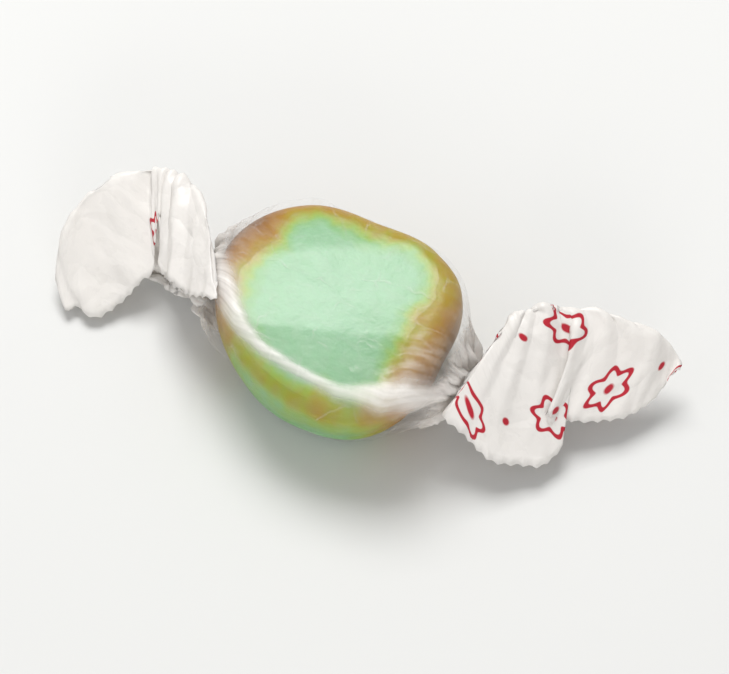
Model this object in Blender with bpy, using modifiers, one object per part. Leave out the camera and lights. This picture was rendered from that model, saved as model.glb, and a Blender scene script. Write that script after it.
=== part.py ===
# A twist-wrapped taffy: a slug cut from a filled rope, rolled in one sheet of waxed paper.
# The cut face looks up (+Z), the two twists lie along X, and the origin is under the middle.

import math
from bisect import bisect_left

import bmesh
import bpy
from mathutils import Vector
from mathutils.bvhtree import BVHTree

mm = 0.001

# Candy, in millimetres
candy_height = 11.4
candy_taper = 0.89           # width at the bottom face over width at the top
edge_round = 2.1             # radius of the soft edge between the top face and the side
foot_round = 3.2             # the same round the bottom, where the soft candy has settled
face_crown = 0.3             # how far the middle of each cut face stands proud
side_bulge = 0.35            # how far the side swells at half height
side_lean = 0.25             # how far two opposite sides lean in and the others out
lean_turn = 150.0            # degrees that this lean turns from bottom to top
least_rim = 0.9              # thinnest the caramel gets
# Radius of the slug and of its green core at angles round the cut face, from +X towards +Y
slug_radius = {0: 10.9, 30: 12.0, 52: 11.3, 92: 10.0, 130: 11.9, 165: 12.7, 205: 11.9,
               235: 11.3, 270: 11.4, 303: 12.3, 332: 11.9}
core_radius = {0: 8.2, 21: 9.2, 45: 10.4, 66: 9.3, 88: 8.4, 115: 9.6, 133: 11.2, 155: 9.4,
               180: 9.9, 215: 10.7, 248: 10.9, 278: 11.0, 311: 11.4, 335: 8.8}
core_turn = 14.0             # degrees that the core's outline turns from top to bottom
# The cutter left the top face with three flats. Past start along the heading (x, y), the face
# falls by fall for each millimetre: (x, y, start, fall)
face_slopes = ((0.30, -0.95, 4.0, 0.15), (-0.50, 0.86, 5.4, 0.19))
slope_blend = 0.5            # width of the soft edge between two flats
# Shallow dents in the top face: (how many go round, first angle in degrees, depth)
face_dents = ((3, 40.0, 0.22), (2, 90.0, 0.16))
candy_sides = 44
face_rings = (0.1, 0.35, 0.6, 0.8, 0.93)     # shares of the way from the middle to the edge
side_rings = (0.75, 0.5, 0.25)               # shares of the way up the side
rim_steps = 4                # rings across each cut face of the caramel

# Waxed paper, in millimetres; the paper lies on the candy with a small clearance
clearance = 0.3
paper_ply = 0.4              # the sheet where it lies over the candy
twist_ply = 1.2              # the same sheet gathered in the twist
fan_ply = 0.5
base_height = paper_ply + clearance
heel_start = 7.0             # distance from the middle at which the paper leaves the table
heel_slope = 0.12            # how fast it rises from there, at the least
seam_angle = -28.0           # where the sheet starts, seen along X: 0 is +Y and 90 is up
seam_overlap = 26.0          # degrees of double paper along the seam
seam_slit = 0.55             # slit between the two edges in the twists and fans
seam_turn = -130.0           # degrees that each twist turns the sheet
twist_start = 14.4           # distance of each twist from the middle
twist_length = 2.6
twist_radius = 2.05          # to the middle of the gathered paper
twist_height = 4.0
twist_waist = 0.14           # share of its radius that the twist loses half way
pleats = 9
pleat_depth = 0.6
pleat_share = 0.3            # pleats are no deeper than this share of the gap behind the paper
pleat_drift = 20.0           # degrees that the pleats turn for each millimetre along X
# What changes along X, in millimetres from the middle: (where it starts to, where it is done)
middle_dip = (9.0, 14.4)     # the sheet's middle line, down from the slug's middle to the twists
overlap_fade = (8.0, 12.0)   # the seam's overlap
slit_rise = (9.0, 12.4)      # the slit between the edges
lap_fade = (12.4, 13.2)      # the lift of the upper edge over the lower one
pleat_fade = (12.8, 14.4)
gather_rise = (13.3, 14.4)   # the paper's thickness, up to that of the twists
lap_start = 80.0             # degrees before the end of the sheet where it starts to lap
lap_full = 34.0              # degrees before the end where it lies wholly on top
paper_sides = 60
body_stations = 23
twist_steps = 4
fan_steps = 8
curve_steps = 20             # points read between two of a fan's own points

# Each fan is bent up and back over its twist like a hood. Its points run from the seam under the
# hood to the far corner, along the hood's cut edge to the corner by the candy, and back under
# to the seam: where the cut edge lies (x, y, z), then the crest that the paper passes over on
# its way there (x, y, z), with x measured out from the candy's middle and z up from the twist's.
left_fan = (
    (21.0, 2.0, -1.6, 19.5, 1.0, -1.6), (24.0, -2.4, -3.4, 22.0, -0.8, -2.8),
    (27.3, -7.3, -2.8, 28.0, -1.6, -1.8), (26.2, -6.4, -2.8, 29.5, -0.2, 1.4),
    (24.2, -6.8, -3.0, 29.2, 2.8, 3.2), (22.4, -4.5, -2.2, 27.6, 5.2, 3.8),
    (21.1, -2.2, -0.7, 25.8, 6.6, 4.2), (20.3, -0.8, 0.3, 24.4, 7.6, 4.4),
    (21.4, 3.0, 3.2, 23.4, 7.9, 4.6), (19.3, -1.2, 1.8, 22.2, 7.8, 4.8),
    (17.0, -3.0, 3.6, 20.8, 7.4, 5.1), (14.6, -4.4, 5.0, 19.0, 6.6, 5.5),
    (12.7, -5.0, 7.0, 17.4, 5.0, 6.1), (10.8, -5.3, 8.6, 16.0, 2.6, 6.8),
    (13.8, -2.6, 6.2, 16.2, 1.0, 5.6), (16.0, -1.4, 3.6, 17.4, 0.6, 4.2),
    (18.6, 0.4, 1.6, 18.8, 0.8, 2.2), (20.6, 2.6, 0.2, 19.8, 1.6, 0.2),
)
right_fan = (
    (20.5, -2.0, -2.0, 19.4, -1.0, -1.6), (24.0, 2.0, -3.2, 22.5, 1.0, -2.8),
    (27.6, 4.4, -2.8, 25.6, 3.4, -2.4), (30.6, 7.6, -1.6, 28.0, 6.4, -1.2),
    (32.6, 10.2, 0.6, 29.0, 9.2, 0.6), (31.9, 8.5, -0.2, 29.0, 10.9, 2.4),
    (31.5, 6.6, -0.9, 28.0, 11.3, 3.6), (30.1, 4.4, -1.2, 26.8, 11.1, 4.3),
    (28.4, 2.9, -1.2, 25.2, 10.9, 4.6), (25.8, 1.3, -0.8, 23.4, 10.6, 4.8),
    (24.1, 0.5, -0.2, 22.2, 10.0, 4.9), (22.8, -0.6, 1.2, 21.4, 9.5, 5.0),
    (25.0, -1.2, -1.2, 20.8, 9.2, 5.1), (24.2, -4.2, -1.8, 19.8, 8.8, 5.2),
    (22.1, -5.5, -1.2, 18.8, 8.2, 5.4), (19.5, -6.8, 0.0, 17.8, 7.5, 5.5),
    (16.6, -6.3, 1.8, 17.0, 6.9, 5.6), (13.7, -5.8, 3.3, 16.3, 6.3, 5.6),
    (15.6, -4.6, 1.4, 16.4, -0.5, 3.8), (18.5, -4.4, -0.8, 17.8, -1.4, 2.2),
    (20.8, -3.4, -1.6, 19.2, -1.8, 0.0),
)


def smooth(low, high, value):
    """0 below low, 1 above high, and an even curve between."""
    part = min(1.0, max(0.0, (value - low) / (high - low)))
    return part * part * (3.0 - 2.0 * part)


def read_round(table, angle):
    """A smooth closed curve through a table of angle: value (numbers or tuples)."""
    keys = sorted(table)
    angle = (angle - keys[0]) % 360.0 + keys[0]
    at = max(i for i, key in enumerate(keys) if key <= angle)
    picks = [(at + step) % len(keys) for step in (-1, 0, 1, 2)]
    before, start, end, after = (table[keys[pick]] for pick in picks)
    span = (keys[picks[2]] - keys[at]) % 360.0
    part = (angle - keys[at]) / span
    if not isinstance(start, tuple):
        return spline(before, start, end, after, part)
    return tuple(spline(*four, part) for four in zip(before, start, end, after))


def spline(before, start, end, after, part):
    """Catmull-Rom curve between start and end."""
    rise = 0.5 * (end - before)
    fall = 0.5 * (after - start)
    square = part * part
    cube = square * part
    return ((2 * cube - 3 * square + 1) * start + (cube - 2 * square + part) * rise
            + (3 * square - 2 * cube) * end + (cube - square) * fall)


def slug_at(angle, height):
    """Radius of the slug's side at a height fraction from 0 at the bottom to 1 at the top."""
    taper = candy_taper + (1.0 - candy_taper) * height
    swell = side_bulge * 4.0 * height * (1.0 - height)
    lean = side_lean * math.sin(math.radians(2.0 * angle + lean_turn * height))
    return read_round(slug_radius, angle) * taper + swell + lean


def core_at(angle, height):
    """Radius of the green core, which turns a little on its way down."""
    turned = angle + core_turn * (1.0 - height)
    radius = read_round(core_radius, turned) * (candy_taper + (1.0 - candy_taper) * height)
    return min(radius, slug_at(angle, height) - least_rim - clearance)


def face_height(angle, radius, top):
    """Height of a cut face: a low crown, shallow dents, and the soft edge."""
    side = slug_at(angle, 1.0 if top else 0.0)
    soft = edge_round if top else foot_round
    from_edge = side - radius
    drop = 0.0
    if from_edge < soft:
        inside = soft - max(from_edge, 0.0)
        drop = soft - math.sqrt(max(soft ** 2 - inside ** 2, 0.0))
    if not top:
        return base_height + drop
    share = radius / side
    turn = math.radians(angle)
    for across, along, start, fall in face_slopes:
        beyond = radius * (across * math.cos(turn) + along * math.sin(turn)) - start
        drop += fall * 0.5 * (beyond + math.hypot(beyond, slope_blend))
    crown = face_crown * (1.0 - share ** 2)
    dents = sum(depth * math.sin(math.radians(count * angle + first))
                for count, first, depth in face_dents)
    dents *= share * (1.0 - share ** 3)
    return base_height + candy_height - face_crown + crown + dents - drop


def ring(radius_at, height_at):
    """One closed ring of points round the candy."""
    points = []
    for step in range(candy_sides):
        angle = 360.0 * step / candy_sides
        radius = radius_at(angle)
        turn = math.radians(angle)
        points.append((radius * math.cos(turn), radius * math.sin(turn), height_at(angle, radius)))
    return points


def slug_wall():
    """Rings over the rim: out across the top face, down the side, and in across the bottom."""
    def across(height, step):
        share = math.sin(math.radians(90.0 * step / rim_steps))

        def radius_at(angle):
            inner = core_at(angle, height) + clearance
            return inner + (slug_at(angle, height) - inner) * share
        return ring(radius_at, lambda angle, radius: face_height(angle, radius, height > 0.5))

    rings = [across(1.0, step) for step in range(rim_steps + 1)]
    foot = base_height + foot_round
    rise = candy_height - foot_round - edge_round
    for height in side_rings:
        rings.append(ring(lambda a, height=height: slug_at(a, height),
                          lambda a, r, height=height: foot + rise * height))
    rings += [across(0.0, step) for step in range(rim_steps, -1, -1)]
    return rings


def core_face(height):
    """Rings over one cut face of the core, from near its middle to near its edge."""
    return [ring(lambda a, share=share: core_at(a, height) * share,
                 lambda a, r: face_height(a, r, height > 0.5))
            for share in face_rings]


def core_wall(radius_at, heights):
    """Rings down the side of the core, or of the hole that it fills."""
    rings = []
    for height in heights:
        def level(angle, radius, height=height):
            top = face_height(angle, radius, True)
            bottom = face_height(angle, radius, False)
            return bottom + (top - bottom) * height
        rings.append(ring(lambda a, height=height: radius_at(a, height), level))
    return rings


def loft(bm, rings, closed):
    """Skin a list of rings; a closed list comes back to its first ring."""
    loops = [[bm.verts.new(Vector(point) * mm) for point in points] for points in rings]
    pairs = list(zip(loops, loops[1:]))
    if closed:
        pairs.append((loops[-1], loops[0]))
    for upper, lower in pairs:
        for step in range(len(upper)):
            after = (step + 1) % len(upper)
            bm.faces.new((upper[step], lower[step], lower[after], upper[after]))
    return loops


def material(name, colour, roughness, alpha=1.0):
    made = bpy.data.materials.new(name)
    made.use_nodes = True
    shader = made.node_tree.nodes["Principled BSDF"]
    shader.inputs["Base Color"].default_value = (*colour, 1.0)
    shader.inputs["Roughness"].default_value = roughness
    shader.inputs["Metallic"].default_value = 0.0
    shader.inputs["Alpha"].default_value = alpha
    return made


def finish(bm, name, collection, look):
    bmesh.ops.recalc_face_normals(bm, faces=bm.faces)
    mesh = bpy.data.meshes.new(name)
    bm.to_mesh(mesh)
    bm.free()
    mesh.shade_smooth()
    mesh.materials.append(look)
    made = bpy.data.objects.new(name, mesh)
    collection.objects.link(made)
    return made


def green_centre(collection):
    """The core runs right through the slug, with a crowned face at the top."""
    bm = bmesh.new()
    rings = core_face(1.0)
    rings += core_wall(core_at, (1.0, 0.75, 0.5, 0.25, 0.0))
    rings += reversed(core_face(0.0))
    loops = loft(bm, rings, False)
    bm.faces.new(loops[0])
    bm.faces.new(reversed(loops[-1]))
    look = material("green_taffy", (0.48, 0.76, 0.50), 0.45)
    return finish(bm, "green_centre", collection, look)


def caramel_rim(collection):
    """The rim is a ring right round the core, thick at some sides and thin at others."""
    bm = bmesh.new()

    def hole_at(angle, height):
        return core_at(angle, height) + clearance

    rings = slug_wall()
    rings += core_wall(hole_at, (0.25, 0.5, 0.75))
    loft(bm, rings, True)
    look = material("caramel_taffy", (0.48, 0.21, 0.06), 0.4)
    return finish(bm, "caramel_rim", collection, look)


def hull_of(points):
    """The convex hull of some points, ready for rays from inside it."""
    bm = bmesh.new()
    for point in points:
        bm.verts.new(point)
    bmesh.ops.convex_hull(bm, input=bm.verts)
    tree = BVHTree.FromBMesh(bm)
    bm.free()
    return tree


def resting_points():
    """Paper lying close on the slug all over."""
    grow = clearance + paper_ply / 2.0
    middle = base_height + candy_height / 2.0
    points = []
    for loop in slug_wall() + core_face(1.0) + core_face(0.0):
        for x, y, z in loop:
            spread = 1.0 + grow / math.hypot(x, y)
            share = (z - middle) / (candy_height / 2.0 - edge_round)
            level = z + grow * max(-1.0, min(1.0, share))
            points.append((x * spread, y * spread, max(level, paper_ply / 2.0)))
    return points


def twist_ends():
    """Where the paper pulled off the slug meets the two twists."""
    points = []
    for side in (-1.0, 1.0):
        for step in range(paper_sides):
            turn = math.tau * step / paper_sides
            points.append((side * twist_start, twist_radius * math.cos(turn),
                           twist_height + twist_radius * math.sin(turn)))
    return points


def middle_line(x):
    """Height of the line round which the sheet is laid."""
    slug_middle = base_height + candy_height / 2.0
    return slug_middle + (twist_height - slug_middle) * smooth(*middle_dip, abs(x))


def reach(hull, x, angle):
    """How far out the hull lies from the sheet's middle line."""
    turn = math.radians(angle)
    inside = max(-0.999, min(0.999, x / twist_start)) * twist_start
    hit = hull.ray_cast(Vector((inside, 0.0, middle_line(x))),
                        Vector((0.0, math.cos(turn), math.sin(turn))))
    return hit[3] or 0.0


def seam_spread(x, radius):
    """Degrees of paper past a full turn at x: an overlap on the body, a slit at the twists."""
    overlap = seam_overlap * (1.0 - smooth(*overlap_fade, abs(x)))
    slit = math.degrees(seam_slit / radius) * smooth(*slit_rise, abs(x))
    return overlap - slit


def body_point(taut, resting, x, share):
    """A point of the sheet over the candy, share 0 to 1 from its inner edge to its outer one."""
    spread = seam_spread(x, reach(taut, x, seam_angle))
    angle = seam_angle + (360.0 + spread) * share
    turn = math.radians(angle)
    radius = reach(taut, x, angle)
    lift = radius - reach(resting, x, angle)
    depth = min(pleat_depth, pleat_share * lift) * (1.0 - smooth(*pleat_fade, abs(x)))
    radius += depth * math.sin(math.radians(pleats * angle + pleat_drift * x))
    lap = smooth(1.0 - lap_start / 360.0, 1.0 - lap_full / 360.0, share)
    lap *= 1.0 - smooth(*lap_fade, abs(x))
    radius += lap * (paper_ply + clearance)
    height = middle_line(x) + radius * math.sin(turn)
    floor = paper_ply / 2.0 + heel_slope * max(0.0, abs(x) - heel_start)
    return (x, radius * math.cos(turn), max(height, floor))


def twist_point(side, along, share):
    """A point of the gathered paper, along 0 to 1 from the candy's end of the twist."""
    spread = seam_spread(twist_start, twist_radius)
    angle = seam_angle + seam_turn * smooth(0.0, 1.0, along) + (360.0 + spread) * share
    turn = math.radians(angle)
    radius = twist_radius * (1.0 - twist_waist * math.sin(math.pi * along))
    return (side * (twist_start + twist_length * along), radius * math.cos(turn),
            twist_height + radius * math.sin(turn))


def read_open(points, place):
    """A smooth curve through a list of points, place 0 at the first and 1 at the second."""
    last = len(points) - 1
    at = min(int(place), last - 1)
    four = [points[min(max(at + step, 0), last)] for step in (-1, 0, 1, 2)]
    return tuple(spline(*values, place - at) for values in zip(*four))


def fan_columns(points):
    """Cut edge and crest for each column of the sheet, spaced evenly along the cut edge."""
    fine = [read_open(points, step / curve_steps)
            for step in range(curve_steps * (len(points) - 1) + 1)]
    lengths = [0.0]
    for here, there in zip(fine, fine[1:]):
        lengths.append(lengths[-1] + math.dist(here[:3], there[:3]))
    columns = []
    for column in range(paper_sides):
        wanted = lengths[-1] * column / (paper_sides - 1)
        after = max(1, bisect_left(lengths, wanted))
        part = (wanted - lengths[after - 1]) / (lengths[after] - lengths[after - 1])
        columns.append([a + (b - a) * part for a, b in zip(fine[after - 1], fine[after])])
    return columns


def fan_point(side, column, along, share):
    """A point of a fan, along 0 to 1 from the twist over the crest to the cut edge."""
    start = Vector(twist_point(side, 1.0, share))
    edge = Vector((side * column[0], column[1], twist_height + column[2]))
    crest = Vector((side * column[3], column[4], twist_height + column[5]))
    lead = 2.0 * crest - 0.5 * (start + edge)
    keep = 1.0 - along
    return tuple(start * keep ** 2 + lead * (2.0 * along * keep) + edge * along ** 2)


def wrapper(collection):
    """One sheet from cut edge to cut edge: fan, twist, body, twist, fan."""
    resting = hull_of(resting_points())
    taut = hull_of(resting_points() + twist_ends())
    shares = [step / (paper_sides - 1) for step in range(paper_sides)]
    left, right = fan_columns(left_fan), fan_columns(right_fan)
    rows = []
    for step in range(fan_steps, 0, -1):
        rows.append([(fan_point(-1.0, column, step / fan_steps, share), fan_ply)
                     for column, share in zip(left, shares)])
    for step in range(twist_steps, 0, -1):
        rows.append([(twist_point(-1.0, step / twist_steps, share), twist_ply)
                     for share in shares])
    for step in range(body_stations):
        x = twist_start * math.sin(math.pi * (step / (body_stations - 1) - 0.5))
        ply = paper_ply + (twist_ply - paper_ply) * smooth(*gather_rise, abs(x))
        rows.append([(body_point(taut, resting, x, share), ply) for share in shares])
    for step in range(1, twist_steps + 1):
        rows.append([(twist_point(1.0, step / twist_steps, share), twist_ply)
                     for share in shares])
    for step in range(1, fan_steps + 1):
        rows.append([(fan_point(1.0, column, step / fan_steps, share), fan_ply)
                     for column, share in zip(right, shares)])
    bm = bmesh.new()
    ply_layer = bm.verts.layers.deform.verify()
    grid = []
    for row in rows:
        line = []
        for point, ply in row:
            vert = bm.verts.new(Vector(point) * mm)
            vert[ply_layer][0] = ply / twist_ply
            line.append(vert)
        grid.append(line)
    for upper, lower in zip(grid, grid[1:]):
        for step in range(paper_sides - 1):
            bm.faces.new((upper[step], lower[step], lower[step + 1], upper[step + 1]))
    look = material("waxed_paper", (0.80, 0.80, 0.78), 0.45, alpha=0.45)
    made = finish(bm, "wrapper", collection, look)
    made.vertex_groups.new(name="ply")
    thicken = made.modifiers.new("ply", "SOLIDIFY")
    thicken.thickness = twist_ply * mm
    thicken.offset = 0.0
    thicken.vertex_group = "ply"
    return made


def main():
    for old in list(bpy.data.objects):
        bpy.data.objects.remove(old, do_unlink=True)
    taffy = bpy.data.collections.new("wrapped_taffy")
    bpy.context.scene.collection.children.link(taffy)
    green_centre(taffy)
    caramel_rim(taffy)
    wrapper(taffy)


main()
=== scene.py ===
import math

import bmesh
import bpy
import numpy as np
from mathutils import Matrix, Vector
from mathutils.bvhtree import BVHTree


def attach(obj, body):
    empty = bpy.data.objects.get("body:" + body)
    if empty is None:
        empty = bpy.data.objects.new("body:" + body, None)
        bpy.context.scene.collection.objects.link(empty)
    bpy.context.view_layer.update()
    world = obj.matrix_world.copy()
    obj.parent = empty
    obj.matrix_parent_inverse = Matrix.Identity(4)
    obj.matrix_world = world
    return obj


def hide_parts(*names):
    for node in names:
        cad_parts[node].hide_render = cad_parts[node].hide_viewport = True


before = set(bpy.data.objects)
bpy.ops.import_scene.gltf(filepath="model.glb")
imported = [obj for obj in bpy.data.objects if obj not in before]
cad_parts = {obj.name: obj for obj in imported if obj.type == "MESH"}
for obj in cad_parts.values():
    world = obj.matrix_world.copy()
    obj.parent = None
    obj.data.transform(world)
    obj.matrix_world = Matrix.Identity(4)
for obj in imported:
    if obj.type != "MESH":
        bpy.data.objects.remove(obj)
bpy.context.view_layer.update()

mm = 0.001

# The slug of taffy, in millimetres. The fine mesh fills the clearance that the solids keep.
# radius and core are read round the slug by angle in degrees. Each slope of the top face is
# (x, y, start, fall, blend): past start millimetres along x, y the face falls away by that
# much, with a bend that is softer the larger blend is. Waves and dents are rows of (size,
# how many round the slug, start, slant), and levels are (first, last, how many rings).
slug = {
    "base": 0.10, "height": 12.35, "taper": 0.89, "edgeRound": 2.0, "footRound": 3.2,
    "crown": 0.25, "bulge": 0.35, "lean": 0.25, "leanTurn": 150.0,
    "leastRim": 0.75, "grow": 0.42, "coreTurn": 14.0,
    "radius": {0: 10.9, 30: 12.0, 52: 11.3, 92: 10.0, 130: 11.9, 165: 12.7, 205: 11.9,
               235: 11.3, 270: 11.4, 303: 12.3, 332: 11.9},
    "core": {0: 8.2, 21: 9.2, 45: 10.4, 66: 9.3, 88: 8.4, 115: 9.6, 133: 11.2, 155: 9.4,
             180: 9.9, 215: 10.7, 248: 10.9, 278: 11.0, 311: 11.4, 335: 8.8},
    "coreWaves": [(0.16, 9.0, 1.0, 3.0), (0.12, 17.0, 2.0, 0.0), (0.07, 31.0, 0.4, -5.0)],
    "dents": [(0.12, 3.0, 0.7, 0.0), (0.08, 5.0, math.pi / 2.0, 0.0)],
    "faceSlopes": [(0.30, -0.95, 4.0, 0.15, 0.25), (-0.50, 0.86, 5.4, 0.20, 0.5)],
    "thinAngle": 276.0, "thinSpread": 0.6, "thinBy": 2.0, "thinTop": 0.4, "thinLevels": (0.6, 0.95),
    "goldAngle": 45.0, "goldSpread": 0.7, "goldShare": 0.62,
    "around": 264, "rimSteps": 12, "hullSteps": 8, "sideLevels": (0.94, 0.06, 15),
    "innerLevels": (0.1, 0.9, 6), "coreSpread": (0.02, 0.995, 30), "coreLevels": (1.0, 0.0, 12),
    "sharpAngle": 50.0,
}

# The sheet of waxed paper, in millimetres, with angles and seamOverlap in degrees. The seam
# runs low along the back of the candy and is turned to the front by the twists. A pair is where
# along x a thing starts and ends, but lapRises is in degrees back from the sheet's outer edge.
# twistGap and fanGap are how far off the candy paper counts there, and sheetWidth only spaces
# the patterns on it.
paper = {
    "thickness": 0.05, "sheetWidth": 78.0, "around": 236, "ease": 0.05,
    "seamAngle": -28.0, "seamOverlap": 26.0, "seamSlit": 0.3, "seamTurn": -130.0,
    "lapFades": (8.0, 12.0), "slitOpens": (9.0, 12.4),
    "lapRises": (80.0, 34.0), "lapEnds": (12.4, 13.2), "lapHeight": 0.16,
    "twistStart": 14.4, "twistLength": 2.6, "twistRadius": 2.15, "twistHeight": 4.0,
    "twistWaist": 0.14, "twistGap": 4.0, "fanGap": 6.0,
    "middleDip": (9.0, 14.4), "neckStart": 11.0, "neckLift": 2.0,
    "bodyRows": 76, "twistRows": 8, "fanRows": 56, "fanMiddle": 0.45, "fanSamples": 900,
    "hullAround": 48, "toothPitch": 5, "toothDepth": 0.25,
}

# Each fan is bent up and back over its twist like a hood. Its points run from the seam under the
# hood to the far corner, along the hood's cut edge to the corner by the candy, and back under
# to the seam: where the cut edge lies (x, y, z), then the crest that the paper passes over on
# its way there (x, y, z), with x measured out from the candy's middle and z up from the twist's.
leftFan = [
    (21.0, 2.0, -1.6, 19.5, 1.0, -1.6), (24.0, -2.4, -3.4, 22.0, -0.8, -2.8),
    (27.3, -7.3, -2.8, 28.0, -1.6, -1.8), (26.2, -6.4, -2.8, 29.5, -0.2, 1.4),
    (24.2, -6.8, -3.0, 29.2, 2.8, 3.2), (22.4, -4.5, -2.2, 27.6, 5.2, 3.8),
    (21.1, -2.2, -0.7, 25.8, 6.6, 4.2), (20.3, -0.8, 0.3, 24.4, 7.6, 4.4),
    (21.4, 3.0, 3.2, 23.4, 7.9, 4.6), (19.3, -1.2, 1.8, 22.2, 7.8, 4.8),
    (17.0, -3.0, 3.6, 20.8, 7.4, 5.1), (14.6, -4.4, 5.0, 19.0, 6.6, 5.5),
    (12.7, -5.0, 7.0, 17.4, 5.0, 6.1), (10.8, -5.3, 8.6, 16.0, 2.6, 6.8),
    (13.8, -2.6, 6.2, 16.2, 1.0, 5.6), (16.0, -1.4, 3.6, 17.4, 0.6, 4.2),
    (18.6, 0.4, 1.6, 18.8, 0.8, 2.2), (20.6, 2.6, 0.2, 19.8, 1.6, 0.2),
]
rightFan = [
    (20.5, -2.0, -2.0, 19.4, -1.0, -1.6), (24.0, 2.0, -3.2, 22.5, 1.0, -2.8),
    (27.6, 4.4, -2.8, 25.6, 3.4, -2.4), (30.6, 7.6, -1.6, 28.0, 6.4, -1.2),
    (32.6, 10.2, 0.6, 29.0, 9.2, 0.6), (31.9, 8.5, -0.2, 29.0, 10.9, 2.4),
    (31.5, 6.6, -0.9, 28.0, 11.3, 3.6), (30.1, 4.4, -1.2, 26.8, 11.1, 4.3),
    (28.4, 2.9, -1.2, 25.2, 10.9, 4.6), (25.8, 1.3, -0.8, 23.4, 10.6, 4.8),
    (24.1, 0.5, -0.2, 22.2, 10.0, 4.9), (22.8, -0.6, 1.2, 21.4, 9.5, 5.0),
    (25.0, -1.2, -1.2, 20.8, 9.2, 5.1), (24.2, -4.2, -1.8, 19.8, 8.8, 5.2),
    (22.1, -5.5, -1.2, 18.8, 8.2, 5.4), (19.5, -6.8, 0.0, 17.8, 7.5, 5.5),
    (16.6, -6.3, 1.8, 17.0, 6.9, 5.6), (13.7, -5.8, 3.3, 16.3, 6.3, 5.6),
    (15.6, -4.6, 1.4, 16.4, -0.5, 3.8), (18.5, -4.4, -0.8, 17.8, -1.4, 2.2),
    (20.8, -3.4, -1.6, 19.2, -1.8, 0.0),
]


def smooth(low, high, value):
    part = np.clip((value - low) / (high - low), 0.0, 1.0)
    return part * part * (3.0 - 2.0 * part)


def readCurve(table, angle, closed=True):
    # a smooth curve through a table of angle: value
    keys = np.array(sorted(table), float)
    values = np.array([table[key] for key in sorted(table)], float)
    values = values.reshape(len(keys), -1)
    angle = np.asarray(angle, float)
    last = len(keys) - 1
    if closed:
        angle = (angle - keys[0]) % 360.0 + keys[0]
        at = np.searchsorted(keys, angle, side="right") - 1
        picks = [(at + step) % len(keys) for step in (-1, 0, 1, 2)]
        span = (keys[picks[2]] - keys[at]) % 360.0
    else:
        at = np.clip(np.searchsorted(keys, angle, side="right") - 1, 0, last - 1)
        picks = [np.clip(at + step, 0, last) for step in (-1, 0, 1, 2)]
        span = keys[at + 1] - keys[at]
    part = np.clip((angle - keys[at]) / span, 0.0, 1.0)[..., None]
    before, start, end, after = (values[pick] for pick in picks)
    rise = 0.5 * (end - before)
    fall = 0.5 * (after - start)
    square = part * part
    cube = square * part
    curve = ((2 * cube - 3 * square + 1) * start + (cube - 2 * square + part) * rise
             + (3 * square - 2 * cube) * end + (cube - square) * fall)
    return curve[..., 0] if curve.shape[-1] == 1 else curve


def wavesAt(rows, turn, height=0.0):
    # how far a wavy line is from its middle
    return sum(size * np.sin(count * turn + start + slant * height)
               for size, count, start, slant in rows)


def taperAt(height):
    return slug["taper"] + (1.0 - slug["taper"]) * height


def slugAt(angle, height):
    swell = slug["bulge"] * 4.0 * height * (1.0 - height)
    lean = slug["lean"] * np.sin(np.radians(2.0 * angle + slug["leanTurn"] * height))
    return readCurve(slug["radius"], angle) * taperAt(height) + swell + lean + slug["grow"]


def coreAt(angle, height):
    # the core turns a little on its way down, and its edge wanders as pulled taffy does
    turned = angle + slug["coreTurn"] * (1.0 - height)
    radius = readCurve(slug["core"], turned) * taperAt(height)
    wander = wavesAt(slug["coreWaves"], np.radians(angle), height)
    return np.minimum(radius + wander, slugAt(angle, height) - slug["leastRim"])


def faceHeight(angle, radius, top):
    side = slugAt(angle, 1.0 if top else 0.0)
    soft = slug["edgeRound"] if top else slug["footRound"]
    inside = soft - np.clip(side - radius, 0.0, soft)
    drop = soft - np.sqrt(np.maximum(soft ** 2 - inside ** 2, 0.0))
    if not top:
        return slug["base"] + drop
    share = radius / side
    turn = np.radians(angle)
    for x, y, start, fall, blend in slug["faceSlopes"]:
        beyond = radius * (x * np.cos(turn) + y * np.sin(turn)) - start
        drop = drop + fall * 0.5 * (beyond + np.sqrt(beyond ** 2 + blend ** 2))
    crown = slug["crown"] * (1.0 - share ** 2)
    dents = share * (1.0 - share ** 3) * wavesAt(slug["dents"], turn)
    return slug["base"] + slug["height"] - slug["crown"] + crown + dents - drop


roundAngles = np.arange(slug["around"]) * 360.0 / slug["around"]


def ringPoints(radius, height):
    turn = np.radians(roundAngles)
    return np.stack([radius * np.cos(turn), radius * np.sin(turn), height], axis=-1)


def faceRing(radius, height):
    return ringPoints(radius, faceHeight(roundAngles, radius, height > 0.5))


def rimFace(steps, height):
    # from the core's edge out to the slug's, with closer rings where the edge is round
    inner = coreAt(roundAngles, height)
    width = slugAt(roundAngles, height) - inner
    parts = [math.sin(math.radians(90.0 * step / steps)) for step in range(steps + 1)]
    return [faceRing(inner + width * part, height) for part in parts]


def rimRings(steps):
    # out across the top face, down the side, and in across the bottom
    edge = faceHeight(roundAngles, slugAt(roundAngles, 1.0), True)
    low = slug["base"] + slug["footRound"]
    side = [ringPoints(slugAt(roundAngles, level), low + (edge - low) * level)
            for level in np.linspace(*slug["sideLevels"])]
    return rimFace(steps, 1.0) + side + rimFace(steps, 0.0)[::-1]


def wallRings(levels):
    rings = []
    for level in levels:
        radius = coreAt(roundAngles, level)
        top = faceHeight(roundAngles, radius, True)
        bottom = faceHeight(roundAngles, radius, False)
        rings.append(ringPoints(radius, bottom + (top - bottom) * level))
    return rings


def coreRings():
    # out across the top face, down the core's wall, and in across the bottom
    spread = np.linspace(*slug["coreSpread"])
    upper = [faceRing(coreAt(roundAngles, 1.0) * part, 1.0) for part in spread]
    lower = [faceRing(coreAt(roundAngles, 0.0) * part, 0.0) for part in spread[::-2]]
    return upper + wallRings(np.linspace(*slug["coreLevels"])) + lower


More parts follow.
